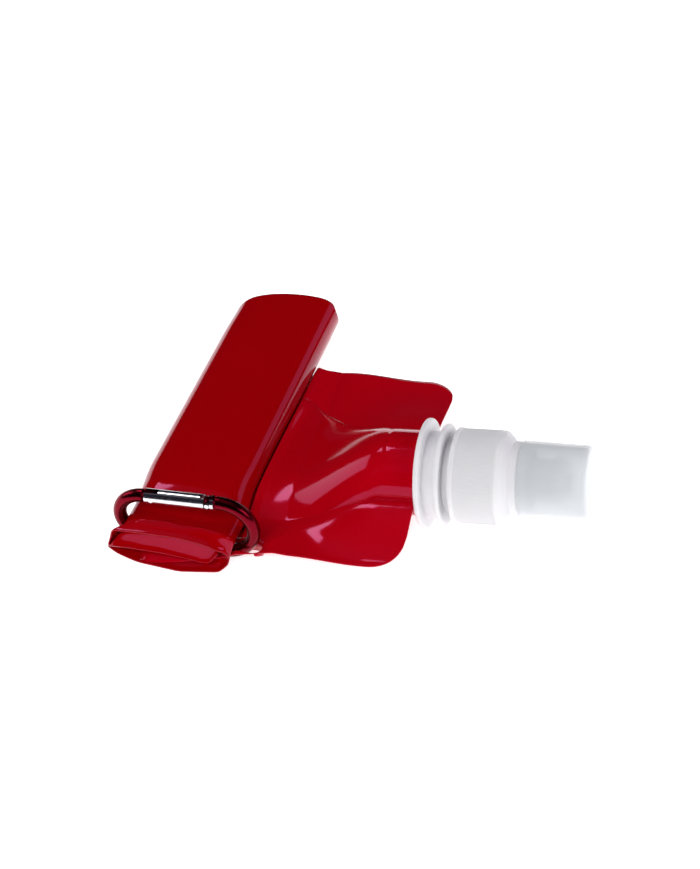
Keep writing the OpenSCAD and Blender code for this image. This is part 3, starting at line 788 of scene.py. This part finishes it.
def turned(name, profile, material, segments=160):
    """Spins a closed profile of (radius, along) points about the spout's axis."""
    count = len(profile)
    angle = np.repeat(np.linspace(0, 2 * np.pi, segments, endpoint=False), count)
    r, z = np.tile(profile[:, 0], segments), np.tile(profile[:, 1], segments)
    vertices = on_axis(r, angle, z)
    faces = [(s * count + i, s * count + (i + 1) % count,
              ((s + 1) % segments) * count + (i + 1) % count, ((s + 1) % segments) * count + i)
             for s in range(segments) for i in range(count)]
    obj = new_object(name, vertices, faces, material)
    bm = bmesh.new()
    bm.from_mesh(obj.data)
    bmesh.ops.remove_doubles(bm, verts=bm.verts, dist=1e-7)
    bmesh.ops.recalc_face_normals(bm, faces=bm.faces)
    bm.to_mesh(obj.data)
    bm.free()
    obj.data.set_sharp_from_angle(angle=math.radians(38))
    print(f"{name}: {len(obj.data.polygons)} faces")
    return obj


# %% [markdown]
# ### Sizes along the axis
#
# The spout, cap and cover fit into each other, so their radii and ends are listed together.

# %% Sizes of the spout and the cap along the axis, in mm from the middle of the large flange
FLANGE_R, FLANGE2_R, FLANGE_T, FLANGE_PITCH = 18.5, 17.0, 1.8, 6.3
TUBE_OUT, TUBE_IN, WAIST_R = 13.75, 11.95, 14.25
NECK_R, BORE_R, NECK_END = 12.0, 10.2, 25.0
CAP_START, SKIRT_END, SHOULDER_END = 10.0, 26.2, 29.0
CAP_R, CAP_BORE, CEILING = 15.75, 13.4, 26.3
STEP_R, STEP_END = 12.45, 32.0
COLLAR_R, COLLAR_IN, COLLAR_END = 11.6, 10.4, 35.0
SPIGOT_R, SPIGOT_IN, SPIGOT_END = 5.6, 4.0, 44.0
COVER_R, COVER_END_R, COVER_END, COVER_WALL = 12.85, 12.35, 54.5, 1.0

# %% [markdown]
# ### Spout, cap and cover
#
# Each is a list of corners with a rounding radius. Small roundings matter: moulded edges
# catch the light, and sharp ones look false.

# %% Spout, cap and dust cover
rim = FLANGE_T / 2 - 0.02
spout = turned("spout", rounded([
    (TUBE_IN, TUBE_END, 0.3), (TUBE_OUT, TUBE_END, 0.3), (TUBE_OUT, -FLANGE_T / 2, 0.5),
    (FLANGE_R, -FLANGE_T / 2, rim), (FLANGE_R, FLANGE_T / 2, rim),
    (WAIST_R, FLANGE_T / 2 + 0.1, 0.5), (WAIST_R, FLANGE_PITCH - FLANGE_T / 2 - 0.1, 0.5),
    (FLANGE2_R, FLANGE_PITCH - FLANGE_T / 2, rim), (FLANGE2_R, FLANGE_PITCH + FLANGE_T / 2, rim),
    (NECK_R, FLANGE_PITCH + FLANGE_T / 2, 0.4), (NECK_R, NECK_END, 0.4), (BORE_R, NECK_END, 0.4),
    (BORE_R, 0, 1.0), (TUBE_IN, -FLANGE_T, 1.0)]), white)

cap = turned("cap", rounded([
    (CAP_BORE, CAP_START, 0.3), (CAP_R + 0.25, CAP_START, 0.5),
    (CAP_R + 0.25, CAP_START + 1.3, 0.3),
    (CAP_R - 0.1, CAP_START + 1.6, 0.3), (CAP_R - 0.1, SKIRT_END - 0.9, 0.3),
    (CAP_R, SKIRT_END - 0.5, 0.4), (CAP_R - 0.5, SKIRT_END + 0.6, 0.9),
    (STEP_R + 0.3, SHOULDER_END, 0.5), (STEP_R, SHOULDER_END + 0.2, 0.2), (STEP_R, STEP_END, 0.5),
    (COLLAR_R, STEP_END, 0.15), (COLLAR_R, COLLAR_END, 0.3), (COLLAR_IN, COLLAR_END, 0.3),
    (COLLAR_IN, SHOULDER_END, 0.3), (SPIGOT_R, SHOULDER_END, 0.3), (SPIGOT_R, SPIGOT_END, 0.3),
    (SPIGOT_IN, SPIGOT_END, 0.2), (SPIGOT_IN, CEILING, 0.2), (CAP_BORE, CEILING, 0.3)]), white)

cover = turned("dust_cover_clear", rounded([
    (COLLAR_R + 0.25, STEP_END, 0.2), (COVER_R, STEP_END, 0.3),
    (COVER_R - 0.02, STEP_END + 1.2, 0), (COVER_END_R, COVER_END, 2.0),
    (0.01, COVER_END, 0), (0.01, COVER_END - COVER_WALL, 0),
    (COVER_END_R - COVER_WALL, COVER_END - COVER_WALL, 1.2)]), clear_plastic)
for piece, body, slot_name, stands_for in (
        (spout, "spout_panel", "white_plastic", "spout_fitment"),
        (cover, "dust_cover", "clear_plastic", "dust_cover")):
    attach(piece, body)
    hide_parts(stands_for)

# %% [markdown]
# ## What repeats on the mouldings
#
# The cap is gripped by fine ribs, the neck carries a screw thread, and the end of the spigot
# has a ring of flow holes' webs. Ribs and thread follow rules, so Geometry Nodes lay them out:
# ribs are one small bar repeated round a circle, and the thread is one profile swept along a
# spiral. Their sizes are inputs of the tree.


# %% A small helper for building Geometry Nodes trees
class Layout:
    """A Geometry Nodes tree with named inputs, run once on an empty mesh to make a plain mesh."""

    def __init__(self, name, sizes):
        self.tree = bpy.data.node_groups.new(name, "GeometryNodeTree")
        self.ids = {}
        for label, (kind, _) in sizes.items():
            made = self.tree.interface.new_socket(label, in_out="INPUT", socket_type=kind)
            self.ids[label] = made.identifier
        self.tree.interface.new_socket("Geometry", in_out="OUTPUT",
                                       socket_type="NodeSocketGeometry")
        self.sizes = sizes
        self.source = self.tree.nodes.new("NodeGroupInput")
        self.end = self.tree.nodes.new("NodeGroupOutput")

    def size(self, label):
        return self.source.outputs[label]

    def node(self, kind, settings=None, inputs=None):
        made = self.tree.nodes.new(kind)
        for key, value in (settings or {}).items():
            setattr(made, key, value)
        for key, value in (inputs or {}).items():
            if isinstance(value, bpy.types.NodeSocket):
                self.tree.links.new(value, made.inputs[key])
            elif isinstance(value, bpy.types.Node):
                self.tree.links.new(value.outputs[0], made.inputs[key])
            else:
                made.inputs[key].default_value = value
        return made

    def math(self, operation, a, b=0.0):
        return self.node("ShaderNodeMath", {"operation": operation}, {0: a, 1: b}).outputs[0]

    def build(self, name, last, material):
        """Realises the tree as a plain mesh whose Z axis becomes the spout's axis."""
        real = self.node("GeometryNodeRealizeInstances", {}, {0: last})
        paint = self.node("GeometryNodeSetMaterial", {}, {"Geometry": real, "Material": material})
        self.tree.links.new(paint.outputs[0], self.end.inputs[0])
        obj = bpy.data.objects.new(name, bpy.data.meshes.new(name))
        bpy.context.scene.collection.objects.link(obj)
        modifier = obj.modifiers.new("layout", "NODES")
        modifier.node_group = self.tree
        for label, (_, value) in self.sizes.items():
            modifier[self.ids[label]] = value
        apply_modifiers(obj)
        turn = Matrix((UPWARD, ACROSS, axis)).transposed().to_4x4()
        obj.data.transform(Matrix.Translation(flange_mid) @ turn)
        if turn.determinant() < 0:
            obj.data.flip_normals()
        print(f"{name}: {len(obj.data.polygons)} faces, Geometry Nodes")
        return obj


# %% [markdown]
# ### Ribs
#
# A real cap has a ring of fine ribs for grip. One bar with six sides is placed on every point
# of a circle, so that their number is a single input.

# %% Ribs round the cap
ribs = Layout("cap_ribs", {
    "Count": ("NodeSocketInt", 120), "Radius": ("NodeSocketFloat", (CAP_R - 0.1) * MM),
    "Start": ("NodeSocketFloat", (CAP_START + 1.8) * MM),
    "Length": ("NodeSocketFloat", (SKIRT_END - CAP_START - 3.2) * MM),
    "Width": ("NodeSocketFloat", 0.36 * MM), "Sunk": ("NodeSocketFloat", 0.10 * MM)})
rib_radius = ribs.math("SUBTRACT", ribs.size("Radius"), ribs.size("Sunk"))
rib_circle = ribs.node("GeometryNodeMeshCircle", {},
                       {"Vertices": ribs.size("Count"), "Radius": rib_radius})
rib_middle = ribs.math("ADD", ribs.size("Start"), ribs.math("MULTIPLY", ribs.size("Length"), 0.5))
rib_lift = ribs.node("ShaderNodeCombineXYZ", {}, {"Z": rib_middle})
rib_ring = ribs.node("GeometryNodeSetPosition", {}, {"Geometry": rib_circle, "Offset": rib_lift})
rib_bar = ribs.node("GeometryNodeMeshCylinder", {}, {
    "Vertices": 6, "Radius": ribs.math("MULTIPLY", ribs.size("Width"), 0.5),
    "Depth": ribs.size("Length")})
rib_place = ribs.node("GeometryNodeInputPosition")
rib_flat = ribs.node("ShaderNodeVectorMath", {"operation": "MULTIPLY"},
                     {0: rib_place, 1: (1, 1, 0)})
rib_turn = ribs.node("FunctionNodeAlignRotationToVector", {"axis": "X"},
                     {"Vector": rib_flat.outputs[0]})
rib_copies = ribs.node("GeometryNodeInstanceOnPoints", {}, {
    "Points": rib_ring, "Instance": rib_bar, "Rotation": rib_turn.outputs[0]})
cap_ribs = ribs.build("cap_ribs", rib_copies, white)


# %% [markdown]
# ### Threads
#
# A screw thread is a ridge on a spiral. Both threads come from one tree with other sizes.

# %% Threads on the neck and in the cap
def thread(name, root, crest, start, pitch=3.2, turns=1.5):
    t = Layout(name, {
        "Root": ("NodeSocketFloat", root * MM), "Pitch": ("NodeSocketFloat", pitch * MM),
        "Turns": ("NodeSocketFloat", turns), "Start": ("NodeSocketFloat", start * MM),
        "Size": ("NodeSocketFloat", abs(crest - root) * MM)})
    spiral = t.node("GeometryNodeCurveSpiral", {}, {
        "Resolution": 48, "Rotations": t.size("Turns"), "Start Radius": t.size("Root"),
        "End Radius": t.size("Root"),
        "Height": t.math("MULTIPLY", t.size("Pitch"), t.size("Turns"))})
    lift = t.node("ShaderNodeCombineXYZ", {}, {"Z": t.size("Start")})
    raised = t.node("GeometryNodeSetPosition", {}, {"Geometry": spiral, "Offset": lift})
    ridge = t.node("GeometryNodeCurvePrimitiveCircle", {},
                   {"Resolution": 10, "Radius": t.size("Size")})
    swept = t.node("GeometryNodeCurveToMesh", {},
                   {"Curve": raised, "Profile Curve": ridge, "Fill Caps": True})
    return t.build(name, swept, white)


THREAD_START = NECK_END - 3.2 * 2.4
neck_thread = thread("neck_thread", NECK_R - 0.05, NECK_R + 0.95, THREAD_START)
cap_thread = thread("cap_thread", CAP_BORE + 0.05, CAP_BORE - 0.95, THREAD_START - 1.6)


for obj in (neck_thread, cap_thread):
    obj.data.shade_smooth()
for piece, body in ((cap_ribs, "cap"), (neck_thread, "spout_panel"), (cap_thread, "cap"),
                    (cap, "cap")):
    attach(piece, body)
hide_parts("screw_cap")

# %% [markdown]
# ### End of the spigot
#
# Water leaves between thin webs that hold a plug pin. They are few and simple, so their
# corners are written out in a loop.

# %% The closed end of the spigot, with its plug pin and flow holes
PLUG_R, PLUG_END, FLOW_HOLES = 2.2, 48.2, 8
plug = turned("spigot_plug", rounded([
    (0.01, SPIGOT_END - 1.2, 0), (PLUG_R, SPIGOT_END - 1.2, 0.1), (PLUG_R, PLUG_END, 0.4),
    (0.01, PLUG_END, 0)]), white, 48)
web_faces, web_points = [], []
for k in range(FLOW_HOLES):
    middle = 2 * math.pi * k / FLOW_HOLES
    for angle, r, z in [(middle + s * w, r, z) for z in (SPIGOT_END - 1.2, SPIGOT_END - 0.1)
                        for s, r, w in ((-1, PLUG_R - 0.2, 0.16), (1, PLUG_R - 0.2, 0.16),
                                        (1, SPIGOT_IN + 0.2, 0.12), (-1, SPIGOT_IN + 0.2, 0.12))]:
        web_points.append(on_axis(np.array([r]), np.array([angle]), np.array([z]))[0])
    b = 8 * k
    web_faces += [(b, b + 1, b + 2, b + 3), (b + 7, b + 6, b + 5, b + 4)]
    web_faces += [(b + i, b + 4 + i, b + 4 + (i + 1) % 4, b + (i + 1) % 4) for i in range(4)]
webs = new_object("spigot_webs", web_points, web_faces, white, False)
bm = bmesh.new()
bm.from_mesh(webs.data)
bmesh.ops.recalc_face_normals(bm, faces=bm.faces)
bm.to_mesh(webs.data)
bm.free()
for piece in (plug, webs):
    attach(piece, "cap")

# %% [markdown]
# ### Nozzle
#
# The nozzle slides on the spigot and opens the flow holes. It is one more turned shape, with
# a wider lip to pull it by.

# %% The push-pull nozzle
NOZZLE_START, NOZZLE_FACE, NOZZLE_END = 33.0, 44.4, 47.2
NOZZLE_BORE, NOZZLE_R, GRIP_R = 5.68, 7.18, 8.38
nozzle = turned("nozzle_push_pull", rounded([
    (NOZZLE_BORE, NOZZLE_START, 0.2), (NOZZLE_R + 0.6, NOZZLE_START, 0.3),
    (NOZZLE_R + 0.6, NOZZLE_START + 1.2, 0.3), (NOZZLE_R, NOZZLE_START + 2, 0.4),
    (NOZZLE_R, NOZZLE_FACE - 2.6, 0.5), (GRIP_R, NOZZLE_FACE - 1.4, 0.5),
    (GRIP_R, NOZZLE_FACE, 0.6),
    (NOZZLE_R - 1, NOZZLE_END, 0.6), (PLUG_R + 0.08, NOZZLE_END, 0.2),
    (PLUG_R + 0.08, NOZZLE_FACE, 0.1), (NOZZLE_BORE, NOZZLE_FACE, 0.2)]), white, 96)
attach(nozzle, "nozzle")
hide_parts("nozzle")

# %% [markdown]
# ## Metal of the carabiner
#
# The rod is aluminium wire dyed a dark red under a clear anodised skin, drawn along its
# length. The gate is a plain bright tube, with fine turning marks across it.


# %% Metal finishes
def metal(name, low, high, roughness, stretch, marks=0.15):
    f = Finish(name)
    drawn = f.noise(900, 2, stretch)
    wear = f.noise(160, 3)
    return f.surface(
        Base_Color=f.blend(wear, (*low, 1), (*high, 1)), Metallic=1.0,
        Roughness=roughness + drawn * 0.12, Normal=f.bump(drawn, marks, 0.00008))


rod = metal("red_anodised", (0.13, 0.002, 0.008), (0.19, 0.004, 0.014), 0.16, (0.2, 1, 1))
steel = metal("bright_steel", (0.68, 0.69, 0.71), (0.80, 0.81, 0.83), 0.14, (1, 0.1, 0.1))


def painted(node, material):
    slots = frame["nodes"][node].data.materials
    slots.clear()
    slots.append(material)


painted("cap_liner", seal)
painted("carabiner_body", rod)
for node in ("carabiner_gate", "gate_pivot_pin", "nose_pin", "gate_spring", "spring_plunger"):
    painted(node, steel)
print("carabiner painted")
